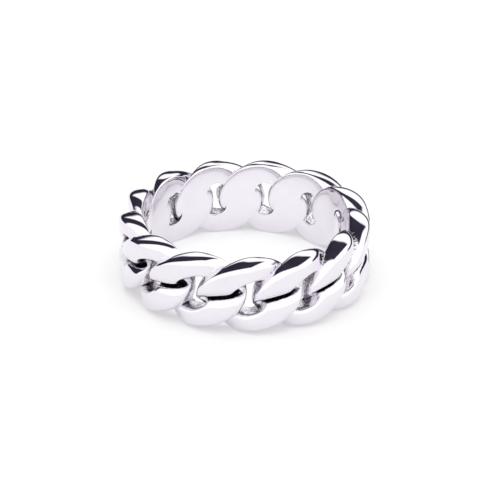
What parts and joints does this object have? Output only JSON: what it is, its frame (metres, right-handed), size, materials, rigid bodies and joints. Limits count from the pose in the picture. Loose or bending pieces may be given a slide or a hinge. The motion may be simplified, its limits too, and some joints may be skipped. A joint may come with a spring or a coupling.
{
  "type": "chain link ring",
  "caption": "Finger ring made as a closed band of fused curb chain links with a smooth round bore.",
  "frame": {"origin": "centre of the ring's underside as it lies on its side", "axes": "+Z along the finger bore's axis, up out of the lying ring; -Y is the side of the band nearest the camera; +X to the right"},
  "size_m": [0.0226, 0.0225, 0.0068],
  "materials": {
    "silver": "polished"
  },
  "bodies": {
    "root": {"band": "silver"}
  },
  "joints": []
}
